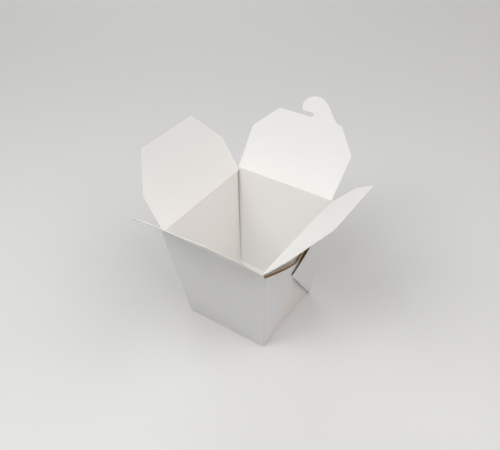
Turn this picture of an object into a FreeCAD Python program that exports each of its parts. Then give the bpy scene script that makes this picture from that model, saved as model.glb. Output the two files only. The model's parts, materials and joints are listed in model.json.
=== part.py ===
# Folded paperboard noodle box, standing open on its base.
#
# One creased sheet makes the base, two plain walls (front and back), two side walls (left and right) and four corner
# webs. Each web is folded double and lies on the outside of a side wall. Four flaps are hinged at the mouth.
# Frame: origin at the centre of the base's underside, +Z up, +X to the right side wall, -Y to the front wall.
# Lengths are in millimetres and angles in degrees.
import FreeCAD, Part
import math
import os

# Sheet
BOARD = 0.45                   # thickness of the board
CREASE_GAP = 0.10              # air left between two layers that are folded flat on each other
CREASE_ROUND = 0.97            # radius of a bend, as a part of the one that would just meet both faces

# Body
HEIGHT = 84.2                  # level of the creases of the slot flap and the hook flap
BASE_DEPTH = 65.0              # front to back over the foot of the plain walls
MOUTH_DEPTH = 90.0             # front to back over the plain walls at the mouth
PLAIN_FOOT_WIDTH = 66.4        # width of a plain wall at its foot
PLAIN_MOUTH_WIDTH = 83.2       # width of a plain wall at the mouth
WEB_STACK_MOUTH = 2.0          # stand-off of the web's outer layer from the side wall at the mouth
DUST_CREASE_DROP = 2.0         # how far the dust flaps' creases lie below the mouth
SLOT_AT_CORNER = 1.0           # open slot between a side wall's folded edge and the plain wall, at the mouth

# Corner webs
WEB_CREASE_LEAN = 36.0         # lean of a web's middle crease from the side wall's upward direction
WEB_CREASE_LENGTH = 69.0       # length of that crease, from the foot corner to the web's tip
WEB_DROP = 0.65                # how far a web's top corner lies below the dust flaps' creases
WEB_TUCK = 0.35                # air between the side wall and the web's inner layer at the mouth
TUCKED_TIP_GAP = 0.10          # air under the front webs' tips
SPRUNG_TIP_GAP = 2.60          # air under the back webs' tips, which lie over the front ones

# Flaps
PLAIN_FLAP_REACH = 52.0        # crease to far edge of the slot flap and the hook flap
PLAIN_FLAP_SHOULDER = 33.5     # length of their straight sides
PLAIN_FLAP_TOP = 52.0          # width of their far edge
DUST_FLAP_REACH = 53.9         # the same for the dust flaps
DUST_FLAP_SHOULDER = 27.3
DUST_FLAP_TOP = 52.8
HOOK_FLAP_FLARE = 1.7          # how much wider the hook flap is, on each side, at its shoulder than at its crease
SLOT_FLAP_FLARE = 0.7
FLAP_SIDE_CLEARANCE = 0.3      # air beside a closed flap, to a dust flap at rest
DUST_SIDE_CLEARANCE = 0.2      # air beside a closed dust flap, to the plain walls
PLAIN_CREASE_CLEARANCE = 0.25  # air between the swing of a flap's root and the wall's top edge
DUST_CREASE_CLEARANCE = 0.12

# Flaps at rest, as leans outwards from upright
LEFT_DUST_LEAN = 30.3
RIGHT_DUST_LEAN = 42.5
HOOK_LEAN = 43.0
SLOT_LEAN = 40.35

# Locking hook. Places along the far edge run from its middle, and rises run up from that edge
HOOK_NOTCH = 3.3               # width of the notch under the barb
HOOK_NOTCH_END = 2.5           # how far past the middle the notch ends
HOOK_RISE = 15.7               # far edge of the flap to the top of the hook
BARB_TIP = -8.9                # place of the barb's outermost point
BARB_TIP_RISE = 4.2            # how far that point lies above the notch
BARB_FOOT_IN = 1.5             # barb's lower corner, in from its outermost point
BARB_BROW_IN = 2.6             # where the barb turns into the crown, in from that point
BARB_BROW_DROP = 2.4           # and how far below the top of the hook
CROWN_TOP_IN = 9.0             # top of the hook, in from the barb's outermost point
CROWN_END_IN = 17.0            # where the crown turns down to the stem, in from that point
CROWN_END_DROP = 2.3           # and how far below the top of the hook
STEM_EDGE = 21.0               # place of the foot of the stem's long edge
STEM_FOOT_RISE = 1.2           # how far the blend into the flap's edge starts above it
STEM_TOP_IN = 6.0              # upper end of the stem's straight edge, in from its foot
STEM_TOP_RISE = 6.8
STEM_BEND_IN = 9.0             # a point on the curve from there to the crown
STEM_BEND_RISE = 10.2
STEM_BLEND_OUT = 2.2           # a point on the blend at the foot of the stem, out from it
STEM_BLEND_RISE = 0.25

# Slit that takes the hook
SLIT_LENGTH = 27.0
SLIT_WIDTH = 1.0
SLIT_OFFSET = 12.5             # middle of the slit from the middle of the flap

VECTOR = FreeCAD.Vector
ORIGIN = VECTOR(0, 0, 0)


def half_depth(level):
    """Distance from the middle to the outer face of a plain wall at a level."""
    return (BASE_DEPTH + (MOUTH_DEPTH - BASE_DEPTH) * level / HEIGHT) / 2


def half_plain_width(level):
    """Half the width of a plain wall at a level."""
    return (PLAIN_FOOT_WIDTH + (PLAIN_MOUTH_WIDTH - PLAIN_FOOT_WIDTH) * level / HEIGHT) / 2


WEB_STACK_FOOT = 2 * (BOARD + CREASE_GAP)
SIDE_FOOT = PLAIN_FOOT_WIDTH / 2 - WEB_STACK_FOOT
SIDE_MOUTH = PLAIN_MOUTH_WIDTH / 2 - WEB_STACK_MOUTH
DUST_CREASE = HEIGHT - DUST_CREASE_DROP
WEB_TOP = DUST_CREASE - WEB_DROP

# Directions in the right side wall: up its slope, and out of its face
UP_SIDE = VECTOR(SIDE_MOUTH - SIDE_FOOT, 0, HEIGHT).normalize()
OUT_SIDE = VECTOR(UP_SIDE.z, 0, -UP_SIDE.x)
# Direction up the slope of the front wall
UP_FRONT = VECTOR(0, -(MOUTH_DEPTH - BASE_DEPTH) / 2, HEIGHT).normalize()


def side_face(level):
    """Distance from the middle to the outer face of a side wall at a level."""
    return SIDE_FOOT + (SIDE_MOUTH - SIDE_FOOT) * level / HEIGHT


def panel(corners, inside):
    """A flat panel of board: its outer face has these corners, and inside is a point on its inner side."""
    face = Part.Face(Part.makePolygon(corners + [corners[0]]))
    normal = (corners[1] - corners[0]).cross(corners[2] - corners[0]).normalize()
    if normal.dot(inside - corners[0]) < 0:
        normal = -normal
    return face.extrude(normal * BOARD)


def crease(start, end, start_radius, end_radius):
    """The rounded bend along a crease, as a rod that may widen from its start to its end."""
    run = end - start
    if start_radius == end_radius:
        return Part.makeCylinder(CREASE_ROUND * start_radius, run.Length, start, run)
    return Part.makeCone(CREASE_ROUND * start_radius, CREASE_ROUND * end_radius, run.Length, start, run)


def on_side(across, rise, stand_off):
    """A point by the right side wall: across from its front foot corner, up its slope and off its outer face."""
    corner = VECTOR(SIDE_FOOT, -BASE_DEPTH / 2, 0)
    return corner + VECTOR(0, across, 0) + UP_SIDE * rise + OUT_SIDE * stand_off


def fold_across(level):
    """Where the side wall's folded front edge lies, as a distance across from its foot corner."""
    clear_of_plain_wall = (BOARD + SLOT_AT_CORNER) * level / HEIGHT
    return BASE_DEPTH / 2 - half_depth(level) + BOARD + clear_of_plain_wall


def web(tip_gap):
    """The front right corner web, folded double, with this much air under its tip."""
    rise = WEB_TOP / UP_SIDE.z
    lean = math.radians(WEB_CREASE_LEAN)
    tip_across = WEB_CREASE_LENGTH * math.sin(lean)
    tip_rise = WEB_CREASE_LENGTH * math.cos(lean)
    foot = BOARD
    wrap_mouth = BASE_DEPTH / 2 - half_depth(WEB_TOP) + BOARD
    fold_mouth = fold_across(WEB_TOP)
    stack_mouth = half_plain_width(WEB_TOP) - side_face(WEB_TOP)

    inner_foot = CREASE_GAP + BOARD
    inner_mouth = WEB_TUCK + BOARD
    inner_tip = tip_gap + BOARD
    outer_tip = inner_tip + CREASE_GAP + BOARD
    middle = on_side(BASE_DEPTH / 2, rise / 2, -BASE_DEPTH)

    inner = panel([on_side(foot, 0, inner_foot),
                   on_side(fold_mouth, rise, inner_mouth),
                   on_side(tip_across, tip_rise, inner_tip)], middle)
    outer = panel([on_side(foot, 0, WEB_STACK_FOOT),
                   on_side(wrap_mouth, rise, stack_mouth),
                   on_side(tip_across, tip_rise, outer_tip)], middle)
    side_bend = crease(on_side(foot, 0, (inner_foot - BOARD) / 2),
                       on_side(fold_mouth, rise, (inner_mouth - BOARD) / 2),
                       (inner_foot + BOARD) / 2, (inner_mouth + BOARD) / 2)
    middle_bend = crease(on_side(foot, 0, (CREASE_GAP + WEB_STACK_FOOT) / 2),
                         on_side(tip_across, tip_rise, (tip_gap + outer_tip) / 2),
                         BOARD + CREASE_GAP / 2, BOARD + CREASE_GAP / 2)
    wrap_start = VECTOR(half_plain_width(0) - BOARD, -half_depth(0) + BOARD, 0)
    wrap_end = VECTOR(half_plain_width(WEB_TOP) - BOARD, -half_depth(WEB_TOP) + BOARD, WEB_TOP)
    wrap_bend = crease(wrap_start, wrap_end, BOARD, BOARD)
    return inner.fuse([outer, side_bend, middle_bend, wrap_bend])


def plain_wall():
    """The front wall, from the base's bend to the crease of the slot flap."""
    top = HEIGHT - (BOARD / 2 + PLAIN_CREASE_CLEARANCE) * UP_FRONT.z
    corners = []
    for sign, level in ((-1, BOARD), (1, BOARD), (1, top), (-1, top)):
        corners.append(VECTOR(sign * (half_plain_width(level) - BOARD), -half_depth(level), level))
    return panel(corners, VECTOR(0, 0, HEIGHT / 2))


def side_wall():
    """The right side wall, from the base's bend to the crease of the right dust flap."""
    top = DUST_CREASE - (BOARD / 2 + DUST_CREASE_CLEARANCE) * UP_SIDE.z
    corners = []
    for end, level in ((0, BOARD), (1, BOARD), (1, top), (0, top)):
        across = fold_across(level)
        if end:
            across = BASE_DEPTH - across
        corners.append(on_side(across, level / UP_SIDE.z, 0))
    return panel(corners, VECTOR(0, 0, HEIGHT / 2))


def base():
    """The bottom panel and the bends at its four edges."""
    half_x = SIDE_FOOT - BOARD
    half_y = BASE_DEPTH / 2 - BOARD
    floor = Part.makeBox(2 * half_x, 2 * half_y, BOARD, VECTOR(-half_x, -half_y, 0))
    bends = []
    for sign in (-1, 1):
        bends.append(crease(VECTOR(-half_x, sign * half_y, BOARD), VECTOR(half_x, sign * half_y, BOARD),
                            BOARD, BOARD))
        bends.append(crease(VECTOR(sign * half_x, -half_y, BOARD), VECTOR(sign * half_x, half_y, BOARD),
                            BOARD, BOARD))
    return floor.fuse(bends)


def cavity():
    """The space inside the four walls, which trims the bends flush with the walls' inner faces."""
    skim = 0.01
    outlines = []
    for level in (BOARD + skim, HEIGHT + BOARD):
        half_x = side_face(level) - BOARD / UP_SIDE.z - skim
        half_y = half_depth(level) - BOARD / UP_FRONT.z - skim
        points = [VECTOR(x * half_x, y * half_y, level) for x, y in ((-1, -1), (1, -1), (1, 1), (-1, 1), (-1, -1))]
        outlines.append(Part.makePolygon(points))
    return Part.makeLoft(outlines, True, True)


def carton_body():
    """The base, walls and webs as the one folded sheet that they are."""
    front = plain_wall()
    right = side_wall()
    front_web = web(TUCKED_TIP_GAP)
    back_web = web(SPRUNG_TIP_GAP).mirror(ORIGIN, VECTOR(0, 1, 0))
    pieces = [front, front.mirror(ORIGIN, VECTOR(0, 1, 0)),
              right, right.mirror(ORIGIN, VECTOR(1, 0, 0)),
              front_web, front_web.mirror(ORIGIN, VECTOR(1, 0, 0)),
              back_web, back_web.mirror(ORIGIN, VECTOR(1, 0, 0))]
    sheet = base().fuse(pieces)
    sheet = sheet.cut(cavity())
    reach = 2 * MOUTH_DEPTH
    below = Part.makeBox(reach, reach, reach, VECTOR(-reach / 2, -reach / 2, -reach))
    return sheet.cut(below).removeSplitter()


def flap_outline(half_root, flare, shoulder, reach, top):
    """Corners of a flap laid flat, root first: u runs along the crease and v away from it."""
    half_shoulder = half_root + flare
    return [VECTOR(-half_root, 0, 0), VECTOR(-half_shoulder, shoulder, 0), VECTOR(-top / 2, reach, 0),
            VECTOR(top / 2, reach, 0), VECTOR(half_shoulder, shoulder, 0), VECTOR(half_root, 0, 0)]


def flat_flap(edges):
    """A flap of board from its closed outline, with its crease on the X axis and its mid-plane at Z = 0."""
    face = Part.Face(Part.Wire(edges))
    flap = face.extrude(VECTOR(0, 0, BOARD))
    flap.translate(VECTOR(0, 0, -BOARD / 2))
    return flap


def polyline(points):
    """Straight edges from each point to the next."""
    return [Part.makeLine(start, end) for start, end in zip(points, points[1:])]


def arc(start, through, end):
    """A circular edge through three points."""
    return Part.Arc(start, through, end).toShape()


def hook_edges(left, right):
    """The far edge of the hook flap between its two corners: notch, barb, crown and stem."""
    edge = left.y
    half_notch = HOOK_NOTCH / 2
    notch_top = edge + HOOK_NOTCH
    crown = edge + HOOK_RISE
    notch_start = VECTOR(HOOK_NOTCH_END - half_notch, edge, 0)
    notch_end = VECTOR(HOOK_NOTCH_END, edge + half_notch, 0)
    notch_back = VECTOR(HOOK_NOTCH_END - half_notch, notch_top, 0)
    barb_foot = VECTOR(BARB_TIP + BARB_FOOT_IN, notch_top, 0)
    barb_tip = VECTOR(BARB_TIP, notch_top + BARB_TIP_RISE, 0)
    barb_brow = VECTOR(BARB_TIP + BARB_BROW_IN, crown - BARB_BROW_DROP, 0)
    crown_top = VECTOR(BARB_TIP + CROWN_TOP_IN, crown, 0)
    crown_end = VECTOR(BARB_TIP + CROWN_END_IN, crown - CROWN_END_DROP, 0)
    stem_bend = VECTOR(STEM_EDGE - STEM_BEND_IN, edge + STEM_BEND_RISE, 0)
    stem_top = VECTOR(STEM_EDGE - STEM_TOP_IN, edge + STEM_TOP_RISE, 0)
    stem_foot = VECTOR(STEM_EDGE, edge + STEM_FOOT_RISE, 0)
    stem_blend = VECTOR(STEM_EDGE + STEM_BLEND_OUT, edge + STEM_BLEND_RISE, 0)
    return [Part.makeLine(left, notch_start),
            arc(notch_start, notch_end, notch_back),
            Part.makeLine(notch_back, barb_foot),
            arc(barb_foot, barb_tip, barb_brow),
            arc(barb_brow, crown_top, crown_end),
            arc(crown_end, stem_bend, stem_top),
            Part.makeLine(stem_top, stem_foot),
            arc(stem_foot, stem_blend, right)]


# Crease lines of the flaps, in the mid-plane of each wall
PLAIN_CREASE_Y = MOUTH_DEPTH / 2 - BOARD / 2
DUST_CREASE_X = side_face(DUST_CREASE) - BOARD / 2

# A closed hook or slot flap passes between the dust flaps at rest, so its root is as wide as they leave
DUST_SPREAD = DUST_CREASE_DROP * math.tan(math.radians(min(LEFT_DUST_LEAN, RIGHT_DUST_LEAN)))
PLAIN_HALF_ROOT = DUST_CREASE_X - BOARD / 2 + DUST_SPREAD - FLAP_SIDE_CLEARANCE
# A closed dust flap lies between the plain walls
DUST_HALF_WIDTH = half_depth(DUST_CREASE - BOARD) - BOARD / UP_FRONT.z - DUST_SIDE_CLEARANCE


def hook_flap():
    """The flap with the locking hook, laid flat."""
    corners = flap_outline(PLAIN_HALF_ROOT, HOOK_FLAP_FLARE, PLAIN_FLAP_SHOULDER, PLAIN_FLAP_REACH, PLAIN_FLAP_TOP)
    edges = polyline(corners[:3]) + hook_edges(corners[2], corners[3]) + polyline(corners[3:] + corners[:1])
    return flat_flap(edges)


def slot_flap():
    """The flap with the slit that takes the hook, laid flat."""
    corners = flap_outline(PLAIN_HALF_ROOT, SLOT_FLAP_FLARE, PLAIN_FLAP_SHOULDER, PLAIN_FLAP_REACH, PLAIN_FLAP_TOP)
    flap = flat_flap(polyline(corners + corners[:1]))
    # The slit lies where the hook flap's far edge comes down when both flaps are closed
    slit_v = 2 * PLAIN_CREASE_Y - PLAIN_FLAP_REACH
    radius = SLIT_WIDTH / 2
    half_run = SLIT_LENGTH / 2 - radius
    slit = Part.makeBox(2 * half_run, SLIT_WIDTH, 2 * BOARD, VECTOR(SLIT_OFFSET - half_run, slit_v - radius, -BOARD))
    for sign in (-1, 1):
        end = VECTOR(SLIT_OFFSET + sign * half_run, slit_v, -BOARD)
        slit = slit.fuse(Part.makeCylinder(radius, 2 * BOARD, end))
    return flap.cut(slit)


def dust_flap():
    """A dust flap, laid flat."""
    corners = flap_outline(DUST_HALF_WIDTH, 0, DUST_FLAP_SHOULDER, DUST_FLAP_REACH, DUST_FLAP_TOP)
    return flat_flap(polyline(corners + corners[:1]))


def hang(flap, crease_point, along, outwards, lean):
    """Put a flat flap on its crease line: along is the crease's direction, outwards leads away from the box."""
    angle = math.radians(lean)
    away = VECTOR(0, 0, 1) * math.cos(angle) + outwards * math.sin(angle)
    normal = along.cross(away)
    turn = FreeCAD.Matrix(along.x, away.x, normal.x, crease_point.x,
                          along.y, away.y, normal.y, crease_point.y,
                          along.z, away.z, normal.z, crease_point.z,
                          0, 0, 0, 1)
    flap.Placement = FreeCAD.Placement(turn).multiply(flap.Placement)
    return flap


def save(shape, node):
    """Write one sub-part and report it."""
    shape.exportStep("parts/" + node + ".step")
    box = shape.optimalBoundingBox(False)
    print("%-16s solids %d valid %s volume %.1f  x %.2f..%.2f y %.2f..%.2f z %.2f..%.2f"
          % (node, len(shape.Solids), shape.isValid(), shape.Volume,
             box.XMin, box.XMax, box.YMin, box.YMax, box.ZMin, box.ZMax))


X_AXIS = VECTOR(1, 0, 0)
Y_AXIS = VECTOR(0, 1, 0)
FLAPS = {
    "hook_flap": hang(hook_flap(), VECTOR(0, PLAIN_CREASE_Y, HEIGHT), X_AXIS, Y_AXIS, HOOK_LEAN),
    "slot_flap": hang(slot_flap(), VECTOR(0, -PLAIN_CREASE_Y, HEIGHT), X_AXIS, -Y_AXIS, SLOT_LEAN),
    "left_dust_flap": hang(dust_flap(), VECTOR(-DUST_CREASE_X, 0, DUST_CREASE), Y_AXIS, -X_AXIS, LEFT_DUST_LEAN),
    "right_dust_flap": hang(dust_flap(), VECTOR(DUST_CREASE_X, 0, DUST_CREASE), Y_AXIS, X_AXIS, RIGHT_DUST_LEAN),
}

os.makedirs("parts", exist_ok=True)
save(carton_body(), "carton_body")
for name, flap in FLAPS.items():
    save(flap, name)
print("creases: plain flaps y %.4f z %.4f, dust flaps x %.4f z %.4f, half roots %.3f %.3f"
      % (PLAIN_CREASE_Y, HEIGHT, DUST_CREASE_X, DUST_CREASE, PLAIN_HALF_ROOT, DUST_HALF_WIDTH))
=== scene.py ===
"""Looks of a folded paperboard noodle carton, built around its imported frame.

The carton is one creased sheet: a base, two plain walls (front and back), two side walls (left and right) and
four corner webs that are folded double against the outside of the side walls. Its four flaps turn on their
creases, so each is a piece of its own that rides on its own body. Sizes are in millimetres up to the point
where a mesh is made.
"""
import json
import logging
import math
from dataclasses import dataclass, field
from enum import Enum
from typing import Optional, Sequence

import bmesh
import bpy
from mathutils import Matrix, Vector, noise
from mathutils.geometry import delaunay_2d_cdt


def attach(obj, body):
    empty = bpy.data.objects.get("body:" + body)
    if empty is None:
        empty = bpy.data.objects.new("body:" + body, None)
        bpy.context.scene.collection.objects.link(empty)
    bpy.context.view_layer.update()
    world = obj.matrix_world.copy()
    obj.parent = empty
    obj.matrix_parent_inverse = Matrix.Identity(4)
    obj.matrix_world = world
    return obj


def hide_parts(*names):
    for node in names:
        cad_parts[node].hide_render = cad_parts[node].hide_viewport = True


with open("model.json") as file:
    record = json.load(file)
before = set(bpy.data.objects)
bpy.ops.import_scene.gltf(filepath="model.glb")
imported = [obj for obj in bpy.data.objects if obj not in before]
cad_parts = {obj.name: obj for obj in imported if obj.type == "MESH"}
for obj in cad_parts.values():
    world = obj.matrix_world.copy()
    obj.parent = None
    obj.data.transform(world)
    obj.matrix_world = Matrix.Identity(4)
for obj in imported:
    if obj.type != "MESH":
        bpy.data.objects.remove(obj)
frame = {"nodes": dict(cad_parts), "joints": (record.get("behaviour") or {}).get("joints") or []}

LOG = logging.getLogger("noodle_carton")
MM = 0.001
UP = Vector((0.0, 0.0, 1.0))
Colour = tuple[float, float, float]
Place = tuple[float, float, float]
Offset = tuple[float, float]

# The board, and what it leaves open or covers at the creases of the flaps.
BOARD = 0.45
PLAIN_REVEAL = 0.05
DUST_REVEAL = 0.30
BEAD_RADIUS = 0.28
BEAD_OVERRUN = 1.2
BEAD_POINTS = 60
BEAD_SIDES = 10

# How sharply a place on the sheet is folded, from 0 for flat to 1.
FLAT = 0.0
WRAPPED = 0.35
LAYER_END = 0.5
CROWN_EDGE = 0.5
FOOT_BEND = 0.6
WALL_EDGE = 0.6
FOLDED = 1.0

# Fineness of the sheet's folds, in steps.
CORNER_STEPS = 6
OUTER_STEPS = 14
CREASE_STEPS = 7
INNER_STEPS = 11
FOOT_STEPS = 5

# Bows, pushes and slots of the webs grow with height by these powers.
BOW_POWER = 1.5
SLOT_POWER = 0.6

# A flap's mesh: the longest run on its rims, the spacing of the points inside and the space round its slit.
LONGEST_RUN = 1.8
POINT_SPACING = 2.4
SLIT_CLEAR = 0.7

# Pitch of its rows and space at its rim, as shares of that spacing.
ROW_PITCH = 0.87
RIM_CLEAR = 0.45

# How far past a flap's reach its points are laid, and how many columns to each side.
HOOK_ROOM = 18.0
HALF_COLUMNS = 20

# Fineness of the flaps' curves, in steps.
EASE_STEPS = 5
SLIT_STEPS = 6
HOOK_STEM_STEPS = 6
HOOK_BACK_STEPS = 8
HOOK_CROWN_STEPS = 14
HOOK_BARB_STEPS = 10
HOOK_NOTCH_STEPS = 8

# Points closer than this count as one, both in millimetres on a flat flap and in metres on a finished one.
WELD = 1e-6

# Where a seed moves a point to in the noise.
SEED_STEP = Vector((1.0, 0.7, -1.0))


class Face(Enum):
    """A face of the board, as its place in a layer's three materials."""

    OUTSIDE = 0
    INSIDE = 1
    CUT_EDGE = 2


class Layer(Enum):
    """A part of the folded sheet, as the place of its first material in the sheet's list."""

    WALL = 0
    SIDE = 3
    OUTER = 6
    INNER = 9


class Wall(Enum):
    """A wall, as its place among the eight stretches of the ring of walls and webs."""

    FRONT = 0
    RIGHT = 2
    BACK = 4
    LEFT = 6


Station = tuple[Vector, float, Layer]


def blend_values(start: float, end: float, share: float) -> float:
    """Value at a share of the way from start to end."""
    return start + (end - start) * share


def joint_named(name: str) -> dict:
    """The frame's joint of that name."""
    return next(joint for joint in frame["joints"] if joint["name"] == name)


# ------------------------------------------------------------------------------------------------------------
# Node helpers
# ------------------------------------------------------------------------------------------------------------


class NodeSheet:
    """A node tree that is filled in by adding nodes and linking sockets."""

    def __init__(self, tree: bpy.types.NodeTree) -> None:
        """Start on an emptied tree."""
        self.tree = tree
        tree.nodes.clear()

    def add(self, kind: str, inputs: Optional[dict] = None, **settings: object) -> bpy.types.Node:
        """Add a node.

        Args:
            kind: the node's type name.
            inputs: values or sockets for its inputs, by name or number.
            settings: properties of the node itself.

        Returns:
            The new node.
        """
        node = self.tree.nodes.new(kind)
        for name, value in settings.items():
            setattr(node, name, value)
        for key, value in (inputs or {}).items():
            self.feed(node.inputs[key], value)
        return node

    def feed(self, socket: bpy.types.NodeSocket, value: object) -> None:
        """Link a socket to an input, or set the input's value.

        Args:
            socket: the input.
            value: a socket or a value.
        """
        if isinstance(value, bpy.types.NodeSocket):
            self.tree.links.new(value, socket)
        else:
            socket.default_value = value

    def math(self, operation: str, first: object, second: object = 0.0,
             third: object = 0.0) -> bpy.types.NodeSocket:
        """Result of a scalar operation on values or sockets."""
        node = self.add("ShaderNodeMath", {0: first, 1: second, 2: third}, operation=operation)
        return node.outputs[0]

    def vector_math(self, operation: str, first: object, second: object) -> bpy.types.NodeSocket:
        """Result of a vector operation on values or sockets."""
        node = self.add("ShaderNodeVectorMath", {0: first, 1: second}, operation=operation)
        return node.outputs[0]

    def scaled(self, vector: object, factor: object) -> bpy.types.NodeSocket:
        """A vector times a scalar."""
        node = self.add("ShaderNodeVectorMath", {0: vector, "Scale": factor}, operation="SCALE")
        return node.outputs[0]


def new_group(name: str, kind: str, inputs: dict,
              outputs: dict) -> tuple[NodeSheet, bpy.types.Node, bpy.types.Node]:
    """Make a node group with named sockets.

    Args:
        name: the group's name.
        kind: ShaderNodeTree or GeometryNodeTree.
        inputs: socket type and default value by name; None for no default.
        outputs: socket type by name.

    Returns:
        The sheet to fill in, the group's input node and its output node.
    """
    tree = bpy.data.node_groups.new(name, kind)
    for socket, (socket_type, default) in inputs.items():
        made = tree.interface.new_socket(socket, in_out="INPUT", socket_type=socket_type)
        if default is not None:
            made.default_value = default
    for socket, socket_type in outputs.items():
        tree.interface.new_socket(socket, in_out="OUTPUT", socket_type=socket_type)
    sheet = NodeSheet(tree)
    return sheet, sheet.add("NodeGroupInput"), sheet.add("NodeGroupOutput")


def grow(piece: bpy.types.Object, name: str, tree: bpy.types.NodeTree, inputs: dict) -> None:
    """Put a Geometry Nodes tree on a piece, set its inputs and turn the result into the piece's own mesh.

    Args:
        piece: the object.
        name: the modifier's name.
        tree: the node tree.
        inputs: values by the names of the tree's inputs.
    """
    modifier = piece.modifiers.new(name, "NODES")
    modifier.node_group = tree
    sockets = {item.name: item.identifier for item in tree.interface.items_tree if item.in_out == "INPUT"}
    for socket, value in inputs.items():
        modifier[sockets[socket]] = value
    plain_mesh(piece)


# ------------------------------------------------------------------------------------------------------------
# Finishes
# ------------------------------------------------------------------------------------------------------------


def fibre_group() -> bpy.types.NodeTree:
    """Short pressed fibres and the cloudy formation of paperboard.

    Returns:
        A group that puts out a height and a mask.
    """
    felt_share, cloud_share = 0.35, 0.5
    sheet, entry, exit_node = new_group(
        "board_fibres", "ShaderNodeTree",
        {"Fibre Scale": ("NodeSocketFloat", 900.0), "Cloud Scale": ("NodeSocketFloat", 140.0),
         "Grain": ("NodeSocketVector", (1.0, 1.0, 0.35))},
        {"Height": "NodeSocketFloat", "Cloud": "NodeSocketFloat"})
    value = entry.outputs
    place = sheet.add("ShaderNodeTexCoord").outputs["Object"]
    grained = sheet.add("ShaderNodeMapping", {"Vector": place, "Scale": value["Grain"]}).outputs[0]
    fibres = sheet.add("ShaderNodeTexNoise", {"Vector": grained, "Scale": value["Fibre Scale"],
                                              "Detail": 6.0, "Roughness": 0.62})
    felt = sheet.add("ShaderNodeTexVoronoi", {"Vector": grained, "Scale": value["Fibre Scale"],
                                              "Randomness": 1.0}, feature="SMOOTH_F1")
    cloud = sheet.add("ShaderNodeTexNoise", {"Vector": place, "Scale": value["Cloud Scale"],
                                             "Detail": 4.0, "Roughness": 0.5})
    fine = sheet.math("MULTIPLY_ADD", felt.outputs["Distance"], felt_share, fibres.outputs[0])
    height = sheet.math("MULTIPLY_ADD", cloud.outputs[0], cloud_share, fine)
    sheet.feed(exit_node.inputs["Height"], height)
    sheet.feed(exit_node.inputs["Cloud"], cloud.outputs[0])
    return sheet.tree


def handling_group() -> bpy.types.NodeTree:
    """Broad faint marks that hands and folding leave.

    Returns:
        A group that puts out a mask.
    """
    middle = 0.5
    sheet, entry, exit_node = new_group(
        "handling_marks", "ShaderNodeTree",
        {"Scale": ("NodeSocketFloat", 28.0), "Sharpness": ("NodeSocketFloat", 2.2)},
        {"Mask": "NodeSocketFloat"})
    place = sheet.add("ShaderNodeTexCoord").outputs["Object"]
    marks = sheet.add("ShaderNodeTexNoise", {"Vector": place, "Scale": entry.outputs["Scale"], "Detail": 5.0,
                                             "Roughness": 0.6, "Distortion": 0.6})
    centred = sheet.math("SUBTRACT", marks.outputs[0], middle)
    sharpened = sheet.math("MULTIPLY_ADD", centred, entry.outputs["Sharpness"], middle)
    mask = sheet.add("ShaderNodeClamp", {"Value": sharpened}).outputs[0]
    sheet.feed(exit_node.inputs["Mask"], mask)
    return sheet.tree


def fold_group() -> bpy.types.NodeTree:
    """Where the coat has cracked along a crease, from the mesh's fold attribute, broken up by fibres.

    Returns:
        A group that puts out a mask.
    """
    sheet, entry, exit_node = new_group(
        "fold_wear", "ShaderNodeTree",
        {"Break Up": ("NodeSocketFloat", 0.5), "Scale": ("NodeSocketFloat", 700.0)},
        {"Mask": "NodeSocketFloat"})
    fold = sheet.add("ShaderNodeAttribute", attribute_name="fold").outputs["Fac"]
    place = sheet.add("ShaderNodeTexCoord").outputs["Object"]
    cracks = sheet.add("ShaderNodeTexNoise", {"Vector": place, "Scale": entry.outputs["Scale"],
                                              "Detail": 3.0})
    broken = sheet.math("MULTIPLY", cracks.outputs[0], entry.outputs["Break Up"])
    mask = sheet.math("SUBTRACT", fold, broken)
    sheet.feed(exit_node.inputs["Mask"], sheet.add("ShaderNodeClamp", {"Value": mask}).outputs[0])
    return sheet.tree


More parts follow.
